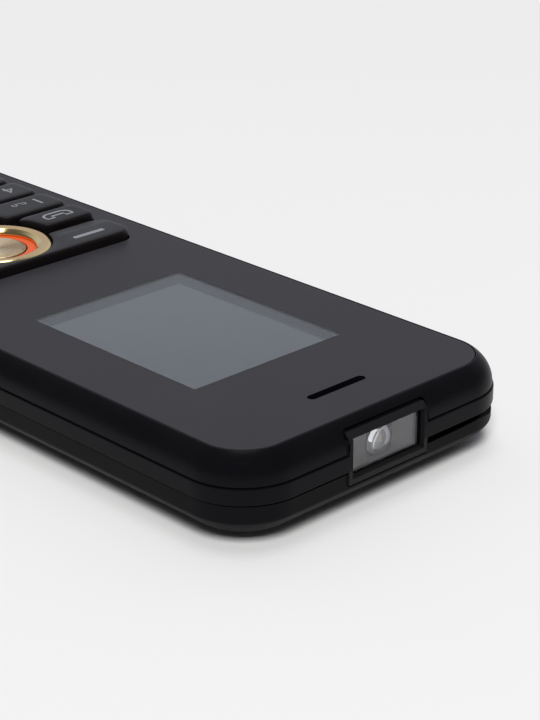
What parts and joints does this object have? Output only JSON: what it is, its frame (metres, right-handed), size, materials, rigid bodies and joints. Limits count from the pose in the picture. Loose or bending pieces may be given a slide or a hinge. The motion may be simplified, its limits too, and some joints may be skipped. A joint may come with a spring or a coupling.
{
  "type": "keypad mobile phone",
  "caption": "Black bar phone with a raised keypad, a gold navigation ring, a small display window and a torch in its top end; the back lifts off over the battery.",
  "frame": {"origin": "under the middle of the flat back, on the surface that the phone lies on", "axes": "+X to the right side of the front, +Y to the torch end, +Z out of the display"},
  "size_m": [0.054, 0.132, 0.0148],
  "materials": {
    "casing_black": "satin black moulded plastic with a fine grain",
    "panel_black": "flat dark grey coated plate with a soft sheen",
    "clear_window": "clear moulded window",
    "display_glass": "unlit liquid crystal panel, blue grey",
    "display_frame": "white backlight frame",
    "flex_orange": "amber flexible circuit",
    "steel": "plated sheet steel",
    "dark_plastic": "black moulded plastic",
    "key_black": "black hard key caps with a soft sheen",
    "silicone": "dark silicone rubber",
    "ring_gold": "polished gold plating",
    "accent_orange": "bright orange lacquer",
    "champagne": "spun champagne gold",
    "board_green": "green circuit board",
    "contact_gold": "gold plated contacts",
    "battery_grey": "grey wrapped lithium cell",
    "reflector_silver": "satin silver reflector",
    "led_clear": "clear domed lamp",
    "antenna_gold": "plated plastic carrier"
  },
  "bodies": {
    "phone": {"front_housing": "casing_black", "mid_frame": "casing_black", "front_panel": "panel_black", "window_lens": "clear_window", "torch_lens": "clear_window", "display_glass": "display_glass", "display_frame": "display_frame", "display_flex": "flex_orange", "earpiece_grille": "steel", "earpiece_receiver": "dark_plastic", "microphone": "steel", "key_mat": "silicone", "dome_sheet": "steel", "main_board": "board_green", "sim_holder_1": "steel", "sim_holder_2": "steel", "sim_holder_3": "steel", "memory_card_holder": "steel", "torch_reflector": "reflector_silver", "torch_led": "led_clear", "loudspeaker": "dark_plastic", "vibration_motor": "steel", "shield_can": "steel", "battery_connector": "contact_gold", "antenna": "antenna_gold", "usb_socket": "steel", "headphone_socket": "dark_plastic", "case_screw_1": "steel", "case_screw_2": "steel", "case_screw_3": "steel", "case_screw_4": "steel"},
    "soft_keys": {"soft_key_bar": "key_black"},
    "nav_pivot": {"nav_cushion": "silicone"},
    "nav_key": {"nav_ring": "ring_gold", "accent_ring": "accent_orange"},
    "centre_key": {"centre_key": "champagne"},
    "call_key": {"call_key": "key_black"},
    "end_key": {"end_key": "key_black"},
    "key_1": {"key_1": "key_black"},
    "key_2": {"key_2": "key_black"},
    "key_3": {"key_3": "key_black"},
    "key_4": {"key_4": "key_black"},
    "key_5": {"key_5": "key_black"},
    "key_6": {"key_6": "key_black"},
    "key_7": {"key_7": "key_black"},
    "key_8": {"key_8": "key_black"},
    "key_9": {"key_9": "key_black"},
    "key_star": {"key_star": "key_black"},
    "key_0": {"key_0": "key_black"},
    "key_hash": {"key_hash": "key_black"},
    "rear_cover": {"rear_cover": "casing_black"},
    "battery": {"battery": "battery_grey"}
  },
  "joints": [
    {"name": "soft_key_rock", "type": "hinge", "parent": "phone", "child": "soft_keys", "pos_m": [0, -0.01206, 0.0125], "axis": [0, 1, 0], "range_deg": [-1.2, 1.2], "stiffness_Nm_per_rad": 0.3},
    {"name": "nav_tilt_x", "type": "hinge", "parent": "phone", "child": "nav_pivot", "pos_m": [0, -0.01881, 0.0122], "axis": [1, 0, 0], "range_deg": [-2, 2], "stiffness_Nm_per_rad": 0.1},
    {"name": "nav_tilt_y", "type": "hinge", "parent": "nav_pivot", "child": "nav_key", "pos_m": [0, -0.01881, 0.01275], "axis": [0, 1, 0], "range_deg": [-2, 2], "stiffness_Nm_per_rad": 0.1},
    {"name": "centre_key_press", "type": "slide", "parent": "phone", "child": "centre_key", "axis": [0, 0, -1], "range_m": [0, 0.0004], "stiffness_N_per_m": 1000},
    {"name": "call_key_press", "type": "slide", "parent": "phone", "child": "call_key", "axis": [0, 0, -1], "range_m": [0, 0.0004], "stiffness_N_per_m": 1000},
    {"name": "end_key_press", "type": "slide", "parent": "phone", "child": "end_key", "axis": [0, 0, -1], "range_m": [0, 0.0004], "stiffness_N_per_m": 1000},
    {"name": "key_1_press", "type": "slide", "parent": "phone", "child": "key_1", "axis": [0, 0, -1], "range_m": [0, 0.0004], "stiffness_N_per_m": 1000},
    {"name": "key_2_press", "type": "slide", "parent": "phone", "child": "key_2", "axis": [0, 0, -1], "range_m": [0, 0.0004], "stiffness_N_per_m": 1000},
    {"name": "key_3_press", "type": "slide", "parent": "phone", "child": "key_3", "axis": [0, 0, -1], "range_m": [0, 0.0004], "stiffness_N_per_m": 1000},
    {"name": "key_4_press", "type": "slide", "parent": "phone", "child": "key_4", "axis": [0, 0, -1], "range_m": [0, 0.0004], "stiffness_N_per_m": 1000},
    {"name": "key_5_press", "type": "slide", "parent": "phone", "child": "key_5", "axis": [0, 0, -1], "range_m": [0, 0.0004], "stiffness_N_per_m": 1000},
    {"name": "key_6_press", "type": "slide", "parent": "phone", "child": "key_6", "axis": [0, 0, -1], "range_m": [0, 0.0004], "stiffness_N_per_m": 1000},
    {"name": "key_7_press", "type": "slide", "parent": "phone", "child": "key_7", "axis": [0, 0, -1], "range_m": [0, 0.0004], "stiffness_N_per_m": 1000},
    {"name": "key_8_press", "type": "slide", "parent": "phone", "child": "key_8", "axis": [0, 0, -1], "range_m": [0, 0.0004], "stiffness_N_per_m": 1000},
    {"name": "key_9_press", "type": "slide", "parent": "phone", "child": "key_9", "axis": [0, 0, -1], "range_m": [0, 0.0004], "stiffness_N_per_m": 1000},
    {"name": "key_star_press", "type": "slide", "parent": "phone", "child": "key_star", "axis": [0, 0, -1], "range_m": [0, 0.0004], "stiffness_N_per_m": 1000},
    {"name": "key_0_press", "type": "slide", "parent": "phone", "child": "key_0", "axis": [0, 0, -1], "range_m": [0, 0.0004], "stiffness_N_per_m": 1000},
    {"name": "key_hash_press", "type": "slide", "parent": "phone", "child": "key_hash", "axis": [0, 0, -1], "range_m": [0, 0.0004], "stiffness_N_per_m": 1000},
    {"name": "cover_lift", "type": "slide", "parent": "phone", "child": "rear_cover", "axis": [0, 0, -1], "range_m": [0, 0.02]},
    {"name": "battery_lift", "type": "slide", "parent": "phone", "child": "battery", "axis": [0, 0, -1], "range_m": [0, 0.01]}
  ],
  "couplings": [
    {"joint": "battery_lift", "follows": "cover_lift", "ratio": 0.5}
  ]
}
